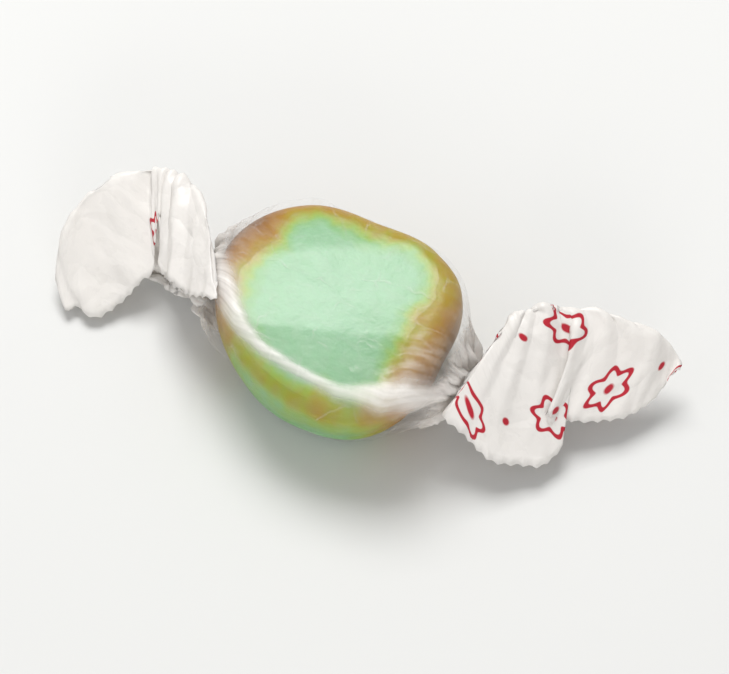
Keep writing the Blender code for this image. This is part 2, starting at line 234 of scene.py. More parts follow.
def thinCaramel(angle, level):
    # low on the front the jacket is stretched thin, and the green shines through it
    turned = np.radians(angle - slug["thinAngle"])
    spread = np.exp(-((1.0 - np.cos(turned)) / slug["thinSpread"]) ** 2)
    return spread * (slug["thinBy"] * (1.0 - smooth(*slug["thinLevels"], level)) + slug["thinTop"])


def goldenSide(angle):
    # along the far side green and caramel were kneaded together, so the rim stays golden there
    turned = np.radians(angle - slug["goldAngle"])
    return slug["goldShare"] * np.exp(-((1.0 - np.cos(turned)) / slug["goldSpread"]) ** 2)


def loftObject(name, rings, closed):
    # skins a list of rings and stores how deep in the caramel each point is
    bm = bmesh.new()
    depthLayer = bm.verts.layers.float.new("caramelDepth")
    loops = []
    for points in rings:
        level = np.clip((points[:, 2] - slug["base"]) / slug["height"], 0.0, 1.0)
        depth = np.hypot(points[:, 0], points[:, 1]) - coreAt(roundAngles, level)
        depth -= thinCaramel(roundAngles, level)
        depth = np.where(depth > 0.0, depth * (1.0 - goldenSide(roundAngles)), depth)
        loop = []
        for point, deep in zip(points, depth):
            vert = bm.verts.new(Vector(point) * mm)
            vert[depthLayer] = float(deep)
            loop.append(vert)
        loops.append(loop)
    pairs = list(zip(loops, loops[1:]))
    if closed:
        pairs.append((loops[-1], loops[0]))
    count = slug["around"]
    for upper, lower in pairs:
        for step in range(count):
            after = (step + 1) % count
            bm.faces.new((upper[step], lower[step], lower[after], upper[after]))
    if not closed:
        bm.faces.new(loops[0])
        bm.faces.new(reversed(loops[-1]))
    bmesh.ops.recalc_face_normals(bm, faces=bm.faces)
    mesh = bpy.data.meshes.new(name)
    bm.to_mesh(mesh)
    bm.free()
    mesh.shade_smooth()
    mesh.set_sharp_from_angle(angle=math.radians(slug["sharpAngle"]))
    made = bpy.data.objects.new(name, mesh)
    bpy.context.scene.collection.objects.link(made)
    return made


def hexColour(text):
    # sRGB hex to linear
    channels = [int(text[i:i + 2], 16) / 255.0 for i in (1, 3, 5)]
    linear = [c / 12.92 if c <= 0.04045 else ((c + 0.055) / 1.055) ** 2.4 for c in channels]
    return (*linear, 1.0)


maths, vectorMaths = "ShaderNodeMath", "ShaderNodeVectorMath"    # what rows are made of


def fillInputs(tree, node, inputs):
    for key, value in inputs.items():
        if isinstance(value, bpy.types.NodeSocket):
            tree.links.new(value, node.inputs[key])
        else:
            node.inputs[key].default_value = value


def addNode(tree, kind, inputs=None, **settings):
    # adds a node with its settings, and links or sets its inputs
    made = tree.nodes.new(kind)
    for name, value in settings.items():
        setattr(made, name, value)
    fillInputs(tree, made, inputs or {})
    return made


def addRow(tree, kind, value, *steps):
    # adds a row of nodes of one kind, each taking the one before as its first value
    for operation, *others in steps:
        inputs = dict(enumerate((value, *others)))
        value = addNode(tree, kind, inputs, operation=operation).outputs[0]
    return value


def newMaterial(name):
    made = bpy.data.materials.new(name)
    made.use_nodes = True
    tree = made.node_tree
    return made, tree, tree.nodes["Principled BSDF"]


# Colours by depth in the caramel: millimetres out from the edge of the green centre. Each cloud
# is (size, reach) in millimetres, and dimples are (size, strength, depth).
taffy = {
    "layers": {-7.0: "#83af89", -2.6: "#7eac82", -1.6: "#79a76b", -1.0: "#85a445",
               -0.4: "#92982b", 0.3: "#9b8522", 1.1: "#99701e", 2.4: "#8a5c18", 3.6: "#6e4610"},
    "clouds": [(3.5, 1.1), (0.9, 0.28)], "drawnOut": (1.0, 1.0, 0.3),
    "mintDimples": (2.2, 0.5, 0.25), "caramelDimples": (1.6, 0.45, 0.25),
}


def taffyColour(tree):
    # one scale of colour runs through both pieces, so that they melt into each other
    place = addNode(tree, "ShaderNodeTexCoord").outputs["Object"]
    drawn = addRow(tree, vectorMaths, place, ("MULTIPLY", taffy["drawnOut"]))
    depth = addNode(tree, "ShaderNodeAttribute", attribute_name="caramelDepth").outputs["Fac"]
    for size, reach in taffy["clouds"]:
        cloud = addNode(tree, "ShaderNodeTexNoise", {
            "Vector": drawn, "Scale": 1.0 / (size * mm), "Detail": 2.0})
        depth = addRow(tree, maths, cloud.outputs["Fac"], ("SUBTRACT", 0.5),
                       ("MULTIPLY_ADD", reach * 2.0, depth))
    low, high = min(taffy["layers"]), max(taffy["layers"])
    share = addNode(tree, "ShaderNodeMapRange", {
        "Value": depth, "From Min": low, "From Max": high}).outputs["Result"]
    made = addNode(tree, "ShaderNodeValToRGB", {"Fac": share})
    stops = made.color_ramp.elements
    stops.remove(stops[-1])
    for key, colour in sorted(taffy["layers"].items()):
        stop = stops[0] if key == low else stops.new((key - low) / (high - low))
        stop.color = hexColour(colour)
    return made.outputs["Color"]


def dimples(tree, size, strength, depth):
    place = addNode(tree, "ShaderNodeTexCoord").outputs["Object"]
    soft = addNode(tree, "ShaderNodeTexNoise", {
        "Vector": place, "Scale": 1.0 / (size * mm), "Detail": 4.0, "Roughness": 0.55})
    made = addNode(tree, "ShaderNodeBump", {
        "Height": soft.outputs["Fac"], "Strength": strength, "Distance": depth * mm})
    return made.outputs["Normal"]


def greenTaffy():
    # pulled sugar taffy: full of fine air bubbles, so milky, with a soft waxy shine
    made, tree, shader = newMaterial("pulled mint taffy")
    fillInputs(tree, shader, {
        "Base Color": taffyColour(tree), "Normal": dimples(tree, *taffy["mintDimples"]),
        "Roughness": 0.37, "Specular IOR Level": 0.42, "Coat Weight": 0.10,
        "Coat Roughness": 0.28, "Subsurface Weight": 0.25,
        "Subsurface Radius": (0.7, 0.8, 0.5), "Subsurface Scale": mm})
    return made


def caramelTaffy():
    # caramel is cooked longer and pulled less: clearer, darker where thick, with a soft shine
    made, tree, shader = newMaterial("caramel taffy")
    fillInputs(tree, shader, {
        "Base Color": taffyColour(tree), "Normal": dimples(tree, *taffy["caramelDimples"]),
        "Roughness": 0.42, "Specular IOR Level": 0.22, "Coat Weight": 0.07,
        "Coat Roughness": 0.28, "Subsurface Weight": 0.25,
        "Subsurface Radius": (0.7, 0.6, 0.35), "Subsurface Scale": mm})
    return made


print("slug of taffy")
core = loftObject("mintCore", coreRings(), False)
jacket = rimRings(slug["rimSteps"]) + wallRings(np.linspace(*slug["innerLevels"]))
rim = loftObject("caramelRim", jacket, True)
core.data.materials.append(greenTaffy())
rim.data.materials.append(caramelTaffy())


def hoop(x, radius, angles, middle):
    # points round a line along x that runs at the height middle
    turn = np.radians(angles)
    return np.stack([np.full_like(turn, x), radius * np.cos(turn),
                     middle + radius * np.sin(turn)], axis=-1)


def hullOf(points):
    bm = bmesh.new()
    for point in points:
        bm.verts.new(point)
    bmesh.ops.convex_hull(bm, input=bm.verts)
    tree = BVHTree.FromBMesh(bm)
    bm.free()
    return tree


def twistEnds():
    angles = np.arange(paper["hullAround"]) * 360.0 / paper["hullAround"]
    return np.concatenate([hoop(side * paper["twistStart"], paper["twistRadius"], angles,
                                paper["twistHeight"]) for side in (-1.0, 1.0)])


restingPoints = [tuple(point) for ring in rimRings(slug["hullSteps"]) + coreRings()
                 for point in ring[::2]]
restingHull = hullOf(restingPoints)
tautHull = hullOf(restingPoints + [tuple(point) for point in twistEnds()])


def middleLine(x):
    # height of the line round which the sheet is laid: the slug's middle, then the twists
    slugMiddle = slug["base"] + slug["height"] / 2.0
    return slugMiddle + (paper["twistHeight"] - slugMiddle) * smooth(*paper["middleDip"], abs(x))


def reach(hull, x, angle):
    # from the middle line out to the hull, starting just inside the hull's flat ends
    turn = math.radians(angle)
    inside = max(-0.999, min(0.999, x / paper["twistStart"])) * paper["twistStart"]
    hit = hull.ray_cast(Vector((inside, 0.0, middleLine(x))),
                        Vector((0.0, math.cos(turn), math.sin(turn))))
    return hit[3] or 0.0


def seamSpread(x, radius):
    overlap = paper["seamOverlap"] * (1.0 - smooth(*paper["lapFades"], abs(x)))
    slit = math.degrees(paper["seamSlit"] / radius) * smooth(*paper["slitOpens"], abs(x))
    return overlap - slit


shares = np.linspace(0.0, 1.0, paper["around"])
twistEnd = paper["twistStart"] + paper["twistLength"]


def bodyRow(x):
    # one row of the sheet and how far it stands off the candy
    spread = seamSpread(x, reach(tautHull, x, paper["seamAngle"]))
    angles = paper["seamAngle"] + (360.0 + spread) * shares
    radius = np.array([reach(tautHull, x, angle) for angle in angles])
    taut = hoop(x, radius, angles, middleLine(x))
    lift = np.array([restingHull.find_nearest(Vector(point))[3] for point in taut])
    lift += paper["neckLift"] * smooth(paper["neckStart"], paper["twistStart"], abs(x))
    lapStart, lapFull = (1.0 - degrees / 360.0 for degrees in paper["lapRises"])
    lap = smooth(lapStart, lapFull, shares) * (1.0 - smooth(*paper["lapEnds"], abs(x)))
    row = hoop(x, radius + paper["ease"] + lap * paper["lapHeight"], angles, middleLine(x))
    row[:, 2] = np.maximum(row[:, 2], paper["ease"])
    return row, lift


def twistRow(side, along):
    spread = seamSpread(paper["twistStart"], paper["twistRadius"])
    start = paper["seamAngle"] + paper["seamTurn"] * smooth(0.0, 1.0, along)
    angles = start + (360.0 + spread) * shares
    radius = paper["twistRadius"] * (1.0 - paper["twistWaist"] * math.sin(math.pi * along))
    x = side * (paper["twistStart"] + paper["twistLength"] * along)
    return hoop(x, radius, angles, paper["twistHeight"]), np.full_like(shares, paper["twistGap"])


def fanCurve(side, points):
    # edge and crest for every column, spaced evenly along the cut edge as on the flat sheet
    table = dict(enumerate(points))
    fine = np.linspace(0.0, len(points) - 1.0, paper["fanSamples"])
    places = readCurve(table, fine, closed=False)
    steps = np.linalg.norm(np.diff(places[:, :3], axis=0), axis=1)
    length = np.concatenate([[0.0], np.cumsum(steps)])
    print(f"cut edge {length[-1]:.1f} mm")
    even = np.interp(shares * length[-1], length, fine)
    places = readCurve(table, even, closed=False) * np.array([side, 1, 1, side, 1, 1])
    lift = np.array([0.0, 0.0, paper["twistHeight"]])
    return places[:, :3] + lift, places[:, 3:] + lift


def fanRow(side, curve, along):
    # each column bends from the twist's end over its crest to its place on the cut edge
    start, _ = twistRow(side, 1.0)
    edge, crest = curve
    lead = 2.0 * crest - 0.5 * (start + edge)
    keep = 1.0 - along
    row = start * keep ** 2 + lead * (2.0 * along * keep) + edge * along ** 2
    return row, np.full_like(shares, paper["fanGap"])


def endRows(side, points):
    # a twist and its fan, outwards: each row's points, gap and place along the sheet
    curve = fanCurve(side, points)
    rows = []
    for step in range(1, paper["twistRows"] + 1):
        share = step / paper["twistRows"]
        place = side * (paper["twistStart"] + paper["twistLength"] * share)
        rows.append((*twistRow(side, share), place))
    for step in range(1, paper["fanRows"] + 1):
        rows.append((*fanRow(side, curve, step / paper["fanRows"]), side * twistEnd))
    return rows


def sheetGrid():
    # the whole sheet, row by row, from the left fan's cut edge to the right one's
    rows = endRows(-1.0, leftFan)[::-1]
    for step in range(paper["bodyRows"]):
        x = paper["twistStart"] * math.sin(math.pi * (step / (paper["bodyRows"] - 1) - 0.5))
        rows.append((*bodyRow(x), x))
    rows += endRows(1.0, rightFan)
    points, lifts, along = (np.array(part) for part in zip(*rows))
    u = np.repeat(along[:, None], points.shape[1], axis=1)
    v = np.repeat(shares[None, :] * paper["sheetWidth"], points.shape[0], axis=0)
    layFlat(points, u, v)
    return points, lifts, u, v


def layFlat(points, u, v):
    # true lengths on the flat sheet for the fans: u out from the twist, v along from one column
    last, count = len(points), paper["fanRows"]
    column = int(paper["around"] * paper["fanMiddle"])
    for side, rows in ((-1, range(count - 1, -1, -1)), (1, range(last - count, last))):
        out = np.full(points.shape[1], twistEnd)
        for row in rows:
            out = out + np.linalg.norm(points[row] - points[row - side], axis=1)
            steps = np.linalg.norm(np.diff(points[row], axis=0), axis=1)
            across = np.concatenate([[0.0], np.cumsum(steps)])
            u[row] = side * out
            v[row] = across - across[column] + paper["sheetWidth"] * paper["fanMiddle"]


def gridNormals(points):
    down = np.gradient(points, axis=0)
    across = np.gradient(points, axis=1)
    normal = np.cross(across, down)
    length = np.linalg.norm(normal, axis=-1, keepdims=True)
    return normal / np.maximum(length, 1e-9)


def pathDistance(points, path):
    # how far each point is from a chain of straight runs, and how far along it that is
    nearest = np.full(points.shape[:-1], 1e9)
    place = np.zeros(points.shape[:-1])
    for step, (start, end) in enumerate(zip(path[:-1], path[1:])):
        run = end - start
        share = np.clip((points - start) @ run / (run @ run), 0.0, 1.0)
        gap = np.linalg.norm(points - start - share[..., None] * run, axis=-1)
        place = np.where(gap < nearest, step + share, place)
        nearest = np.minimum(nearest, gap)
    return nearest, place


def rimPoint(angle, inset):
    # a point of the top face, so far in from the slug's edge
    radius = slugAt(angle, 1.0) - inset
    turn = math.radians(angle)
    return np.array([radius * math.cos(turn), radius * math.sin(turn),
                     float(faceHeight(angle, radius, True))])


# Where the paper stands off the candy. The ridge is pulled taut from neck to neck across the
# front of the face: {angle: (inset from the slug's edge, half width)}, and swells and sinks a
# little on its way. The others are soft pockets along the slug's edge: (first angle, last
# angle, inset, drop, stand-off, half width).
standOff = {
    "ridge": {180: (-0.2, 1.5), 189: (0.6, 1.6), 198: (1.3, 1.55), 210: (1.6, 1.3),
              224: (1.7, 0.9), 242: (2.1, 0.65), 260: (2.7, 0.6), 276: (2.8, 0.6),
              294: (2.5, 0.7), 312: (1.7, 0.9), 326: (0.8, 1.2)},
    "ridgeHeight": 0.38, "ridgeSlack": 0.6, "swell": 0.2, "swellPitch": 2.9, "swellStart": 0.6,
    "neckSides": (0.6, -0.8), "neckRise": 0.8, "shoulder": (12.9, -2.8, 8.4), "lastWidth": 0.8,
    "pockets": [(122, 176, -0.6, 0.0, 1.0, 1.4), (8, 52, -0.3, 0.0, 0.5, 1.1),
                (316, 348, 1.7, 0.0, 1.4, 3.2), (188, 212, -0.3, 4.0, 0.9, 1.7),
                (294, 332, -0.3, 3.5, 0.8, 2.2)],
    "pocketSteps": 7,
}


def ridgePath():
    # the ridge's points and half widths, from the left neck to the right one
    neck = paper["twistStart"]
    height = paper["twistHeight"] + standOff["neckRise"] * paper["twistRadius"]
    leftSide, rightSide = standOff["neckSides"]
    path = [np.array([-neck, leftSide, height])]
    path += [rimPoint(angle, inset) for angle, (inset, _) in standOff["ridge"].items()]
    path += [np.array(standOff["shoulder"]), np.array([neck, rightSide, height])]
    widths = [width for _, width in standOff["ridge"].values()]
    return path, [widths[0]] + widths + [widths[-1], standOff["lastWidth"] * widths[-1]]


def standOffs(points):
    path, widths = ridgePath()
    distance, place = pathDistance(points, path)
    width = np.interp(place, np.arange(len(widths)), widths)
    outward = np.hypot(points[..., 0], points[..., 1])
    axis = np.array([math.hypot(point[0], point[1]) for point in path])
    beyond = outward > np.interp(place, np.arange(len(path)), axis)
    share = distance / np.where(beyond, width, width * standOff["ridgeSlack"])
    wave = np.sin(place * standOff["swellPitch"] + standOff["swellStart"])
    ridge = np.exp(-share ** 2)
    away = standOff["ridgeHeight"] * ridge * (1.0 - standOff["swell"] + standOff["swell"] * wave)
    for first, last, inset, drop, size, width in standOff["pockets"]:
        path = [rimPoint(angle, inset) - np.array([0.0, 0.0, drop])
                for angle in np.linspace(first, last, standOff["pocketSteps"])]
        away += size * np.exp(-(pathDistance(points, path)[0] / width) ** 2)
    return away, ridge


# Pleats gathered at the twists, in millimetres. A lean is the share of a pleat that its quick
# flank takes. Each reach is how far from the twist the pleats die out, and each pair is the gap
# or the distance between which a thing grows. Near the candy the paper clings and stays calm.
pleating = {
    "seed": 11, "folds": 13, "foldDepth": 0.75, "foldLean": 0.38,
    "fine": 27, "fineDepth": 0.28, "fineLean": 0.45, "fineReach": 4.0,
    "waver": (0.28, 0.22), "uneven": 0.3, "spiral": 0.10, "spiralReach": 4.0,
    "shoulder": 1.3, "shoulderGap": (0.2, 3.0), "shoulderReach": 5.5, "inward": 0.35,
    "twist": 0.34, "fanStart": 0.35, "fanGrowth": 0.9, "fanFrom": (0.5, 2.5), "fanReach": 6.0,
    "fanFold": 0.16, "cling": 0.04, "clingGap": (0.2, 1.5), "clingSlope": 0.45,
    "fanLoose": (0.0, 4.0),
}


def foldWave(turn, count, lean, rng):
    # sharp pleats of uneven width: up one flank quickly and down the other slowly
    phase = rng.random(3) * math.tau
    wide, narrow = pleating["waver"]
    place = count * turn / math.tau + wide * np.sin(turn * 2.0 + phase[0])
    place += narrow * np.sin(turn * 3.0 + phase[1])
    size = 1.0 - pleating["uneven"] + pleating["uneven"] * np.sin(5.0 * turn + phase[2])
    part = place % 1.0
    return size * (np.where(part < lean, part / lean, (1.0 - part) / (1.0 - lean)) * 2.0 - 1.0)


def pleatWaves(u, fine):
    # broad pleats and fine ones, wound opposite ways round the twist
    rng = np.random.default_rng(pleating["seed"])
    sheetTurn = np.repeat(shares[None, :] * math.tau, len(u), axis=0)
    most = pleating["spiralReach"]
    out = np.clip(np.abs(u) - paper["twistStart"], -most, most)
    spiral = np.sign(u) * out * pleating["spiral"]
    broad = foldWave(sheetTurn + spiral, pleating["folds"], pleating["foldLean"], rng)
    narrow = foldWave(sheetTurn - spiral, pleating["fine"], pleating["fineLean"], rng)
    return pleating["foldDepth"] * broad + fine * pleating["fineDepth"] * narrow


def shapeSheet():
    points, lift, u, v = sheetGrid()
    normal = gridNormals(points)
    onBody = np.abs(u) < paper["twistStart"] - 1e-6
    inFan = np.abs(u) > twistEnd + 1e-6
    middle = np.array([0.0, 0.0, paper["twistHeight"]])
    if (normal * (points - middle))[onBody].sum() < 0.0:
        normal = -normal
    away, ridge = (np.where(onBody, part, 0.0) for part in standOffs(points))
    gap = lift + away
    fromTwist = np.abs(np.abs(u) - paper["twistStart"] - paper["twistLength"] / 2.0)
    pleats = pleatWaves(u, np.where(onBody, 1.0, np.exp(-fromTwist / pleating["fineReach"])))
    nearBody = smooth(*pleating["shoulderGap"], gap) * pleating["shoulder"]
    nearBody = nearBody * np.exp(-fromTwist / pleating["shoulderReach"])
    nearFan = pleating["fanStart"] + smooth(*pleating["fanFrom"], fromTwist) * pleating["fanGrowth"]
    nearFan = nearFan * np.exp(-fromTwist / pleating["fanReach"]) + pleating["fanFold"]
    move = pleats * np.where(onBody, nearBody, np.where(inFan, nearFan, pleating["twist"]))
    move = np.where(onBody, np.maximum(move, -pleating["inward"] * gap), move)
    cling = pleating["cling"]
    onCandy = np.minimum(cling + (1.0 - cling) * smooth(*pleating["clingGap"], gap),
                         cling + pleating["clingSlope"] * gap)
    loose = np.where(onBody, onCandy, smooth(*pleating["fanLoose"], fromTwist))
    points = points + normal * (away + move)[..., None]
    points[..., 2] = np.maximum(points[..., 2], paper["ease"])
    return points, gap, ridge, loose, u, v


def cutTeeth(points):
    # the zigzag left by the cutting blade on both far edges
    pitch = paper["toothPitch"]
    wave = 1.0 - np.abs((np.arange(points.shape[1]) % pitch) - pitch // 2) / (pitch // 2)
    for edge, inner in ((0, 3), (-1, -4)):
        heading = points[edge] - points[inner]
        heading /= np.linalg.norm(heading, axis=-1, keepdims=True)
        points[edge] += heading * ((wave - 0.5) * paper["toothDepth"])[:, None]
    return points


# The paper's look, in millimetres on the flat sheet. It is milky where it stands off the candy:
# each gap is the pair of stand-offs between which that cover grows. The print is a plain
# pattern of petal rings and dots, from so far out of the twist.
finish = {
    "paper": "#f5f2ee", "ink": "#c8283a", "rough": 0.36, "through": 0.3,
    "cover": 0.025, "nearCover": 0.18, "nearGap": (0.8, 1.9), "farCover": 0.70,
    "farGap": (1.2, 3.8), "ridgeCover": 0.70, "fullCover": 0.96,
    "haze": 0.14, "hazeReach": (10.0, 13.5), "streakSize": (9.0, 0.7, 1.0),
    "streakGap": (2.5, 5.0), "streakStrength": (1.5, 0.12),
    "creaseSize": 5.0, "creaseLine": 0.03, "creaseCover": 0.12, "creaseBend": 2.5,
    "creaseShows": (0.48, 0.62), "cloudScale": 0.3,
    "crumpleSize": 1.6, "crumple": 1.3, "crumpleLeast": 0.5, "crumpleShows": (0.42, 0.62),
    "facetDepth": 0.4,
    "printStart": 19.5, "repeatOut": 8.8, "repeatAcross": 10.4, "shift": (2.0, 1.2),
    "petals": 6.0, "ringSize": 1.8, "petalDepth": 0.32, "eyeSize": 0.5, "line": 0.26,
    "dotSize": 0.42, "inkEdge": 0.2, "leftStrip": 3.2, "leftShift": 1.3,
}


def printMask(tree, place):
    # 1 where the ink is: petal rings in staggered rows, a dot in each and one between
    parts = addNode(tree, "ShaderNodeSeparateXYZ", {0: place}).outputs
    onLeft = addRow(tree, maths, parts[0], ("LESS_THAN", 0.0), ("MULTIPLY", finish["leftShift"]))
    row = addRow(tree, maths, parts[0], ("ADD", onLeft), ("ADD", finish["shift"][0]),
                 ("DIVIDE", finish["repeatOut"]))
    whole = addRow(tree, maths, row, ("FLOOR",))
    stagger = addRow(tree, maths, whole, ("MULTIPLY", 0.5))
    column = addRow(tree, maths, parts[1], ("ADD", finish["shift"][1]),
                    ("DIVIDE", finish["repeatAcross"]), ("ADD", stagger))
    x = addRow(tree, maths, row, ("SUBTRACT", whole), ("SUBTRACT", 0.5),
               ("MULTIPLY", finish["repeatOut"]))
    y = addRow(tree, maths, column, ("FRACT",), ("SUBTRACT", 0.5),
               ("MULTIPLY", finish["repeatAcross"]))
    edge = addRow(tree, maths, y, ("ABSOLUTE",), ("SUBTRACT", finish["repeatAcross"] / 2.0))
    lengths = []
    for across in (y, edge):
        spot = addNode(tree, "ShaderNodeCombineXYZ", {0: x, 1: across}).outputs[0]
        lengths.append(addNode(tree, vectorMaths, {0: spot}, operation="LENGTH").outputs["Value"])
    fromMiddle, fromCorner = lengths
    petal = addRow(tree, maths, y, ("ARCTAN2", x), ("MULTIPLY", finish["petals"]), ("COSINE",),
                   ("MULTIPLY_ADD", finish["petalDepth"], finish["ringSize"]))
    fromPetal = addRow(tree, maths, fromMiddle, ("SUBTRACT", petal), ("ABSOLUTE",))
    marks = []
    for away, size in ((fromPetal, finish["line"]), (fromMiddle, finish["eyeSize"]),
                       (fromCorner, finish["dotSize"])):
        marks.append(addNode(tree, "ShaderNodeMapRange", {
            "Value": away, "From Min": size * (1.0 + finish["inkEdge"]),
            "From Max": size * (1.0 - finish["inkEdge"])}).outputs["Result"])
    ink = addRow(tree, maths, marks[0], ("MAXIMUM", marks[1]), ("MAXIMUM", marks[2]))
    beyond = addNode(tree, "ShaderNodeMapRange", {
        "Value": addRow(tree, maths, parts[0], ("ABSOLUTE",)),
        "From Min": finish["printStart"], "From Max": finish["printStart"] + 1.0})
    # on the left fan the print ends in a strip, which the fan's slit folds in
    inStrip = addRow(tree, maths, parts[1],
                     ("SUBTRACT", paper["sheetWidth"] * paper["fanMiddle"]),
                     ("ABSOLUTE",), ("LESS_THAN", finish["leftStrip"]))
    shown = addRow(tree, maths, parts[0], ("GREATER_THAN", 0.0), ("MAXIMUM", inStrip))
    return addRow(tree, maths, ink, ("MULTIPLY", beyond.outputs["Result"]), ("MULTIPLY", shown))


def grow(between, low, high):
    # the two ranges of a map: from a pair of values to a low and a high one
    return {"From Min": between[0], "From Max": between[1], "To Min": low, "To Max": high}


def paperCover(tree, place, cloud, cells):
    # how milky the paper is: more where it lifts off, on the ridge and along its creases
    gap = addNode(tree, "ShaderNodeAttribute", attribute_name="gap").outputs["Fac"]
    ridge = addNode(tree, "ShaderNodeAttribute", attribute_name="ridge").outputs["Fac"]
    near = addNode(tree, "ShaderNodeMapRange", {
        "Value": gap, **grow(finish["nearGap"], finish["cover"], finish["nearCover"])},
        interpolation_type="SMOOTHSTEP").outputs["Result"]
    far = addNode(tree, "ShaderNodeMapRange", {
        "Value": gap, **grow(finish["farGap"], 0.0, finish["farCover"])},
        interpolation_type="SMOOTHSTEP").outputs["Result"]
    along = addNode(tree, "ShaderNodeSeparateXYZ", {0: place}).outputs[0]
    haze = addNode(tree, "ShaderNodeMapRange", {
        "Value": addRow(tree, maths, along, ("ABSOLUTE",)),
        **grow(finish["hazeReach"], 0.0, finish["haze"])}).outputs["Result"]
    crumple = addNode(tree, "ShaderNodeTexNoise", {
        "Vector": place, "Scale": 1.0 / finish["crumpleSize"], "Detail": 3.0, "Distortion": 0.6})
    least = finish["crumpleLeast"]
    light = addNode(tree, "ShaderNodeMapRange", {
        "Value": crumple.outputs["Fac"],
        **grow(finish["crumpleShows"], least, least + finish["crumple"])}).outputs["Result"]
    line = addNode(tree, "ShaderNodeMapRange", {
        "Value": cells.outputs["Distance"],
        **grow((0.0, finish["creaseLine"]), finish["creaseCover"], 0.0)}).outputs["Result"]
    broken = addNode(tree, "ShaderNodeMapRange", {
        "Value": cloud.outputs["Fac"], **grow(finish["creaseShows"], 0.0, 1.0)})
    near = addRow(tree, maths, near, ("MULTIPLY", light))
    crease = addRow(tree, maths, line, ("MULTIPLY", broken.outputs["Result"]))
    cover = addRow(tree, maths, ridge, ("MULTIPLY_ADD", finish["ridgeCover"], near),
                   ("ADD", far), ("ADD", haze), ("ADD", crease))
    drawn = addRow(tree, vectorMaths, place, ("DIVIDE", finish["streakSize"]))
    streaks = addNode(tree, "ShaderNodeTexNoise", {"Vector": drawn, "Scale": 1.0, "Detail": 3.0})
    calm = addNode(tree, "ShaderNodeMapRange", {
        "Value": gap, **grow(finish["streakGap"], *finish["streakStrength"])})
    streak = addRow(tree, maths, streaks.outputs["Fac"], ("SUBTRACT", 0.5),
                    ("MULTIPLY_ADD", calm.outputs["Result"], 1.0))
    return addRow(tree, maths, cover, ("MULTIPLY", streak))


def waxedPaper():
    # thin waxed paper: clear where it clings to the candy, milky where it lifts off
    made, tree, shader = newMaterial("waxed paper")
    place = addNode(tree, "ShaderNodeAttribute", attribute_name="flatPlace").outputs["Vector"]
    cloud = addNode(tree, "ShaderNodeTexNoise", {
        "Vector": place, "Scale": finish["cloudScale"], "Detail": 3.0})
    bent = addRow(tree, vectorMaths, cloud.outputs["Color"],
                  ("MULTIPLY_ADD", (finish["creaseBend"],) * 3, place))
    cells = addNode(tree, "ShaderNodeTexVoronoi", {
        "Vector": bent, "Scale": 1.0 / finish["creaseSize"]}, feature="DISTANCE_TO_EDGE")
    ink = printMask(tree, place)
    cover = addRow(tree, maths, paperCover(tree, place, cloud, cells), ("MAXIMUM", ink),
                   ("MINIMUM", finish["fullCover"]))
    colours = addNode(tree, "ShaderNodeMix", {
        "Factor": ink, "A": hexColour(finish["paper"]), "B": hexColour(finish["ink"])},
        data_type="RGBA").outputs["Result"]
    facets = addNode(tree, "ShaderNodeBump", {
        "Height": cells.outputs["Distance"], "Distance": finish["facetDepth"] * mm})
    fillInputs(tree, shader, {"Base Color": colours, "Roughness": finish["rough"],
                              "Normal": facets.outputs["Normal"]})
    through = addNode(tree, "ShaderNodeBsdfTranslucent", {
        "Color": colours, "Normal": facets.outputs["Normal"]})
    body = addNode(tree, "ShaderNodeMixShader", {
        0: finish["through"], 1: shader.outputs[0], 2: through.outputs[0]})
    clear = addNode(tree, "ShaderNodeBsdfTransparent")
    film = addNode(tree, "ShaderNodeMixShader", {
        0: cover, 1: clear.outputs[0], 2: body.outputs[0]})
    tree.links.new(film.outputs[0], tree.nodes["Material Output"].inputs["Surface"])
    return made


# Crinkles in millimetres: broad facets, the fine creases between them, and flat folds whose
# valleys run straight, so their depth is negative. Level is how far from a cone's tip, as a
# share of its size, the paper stays where it was. The swirl bends the whole pattern.
crinkle = {
    "Facet size": 4.4, "Facet depth": 0.6, "Crease size": 1.7, "Crease depth": 0.2,
    "Fold size": 3.6, "Fold depth": -0.45, "Level": 0.45, "Stretch": 1.9, "Seed": 7.0,
    "Swirl scale": 0.35, "Swirl": 1.6,
}


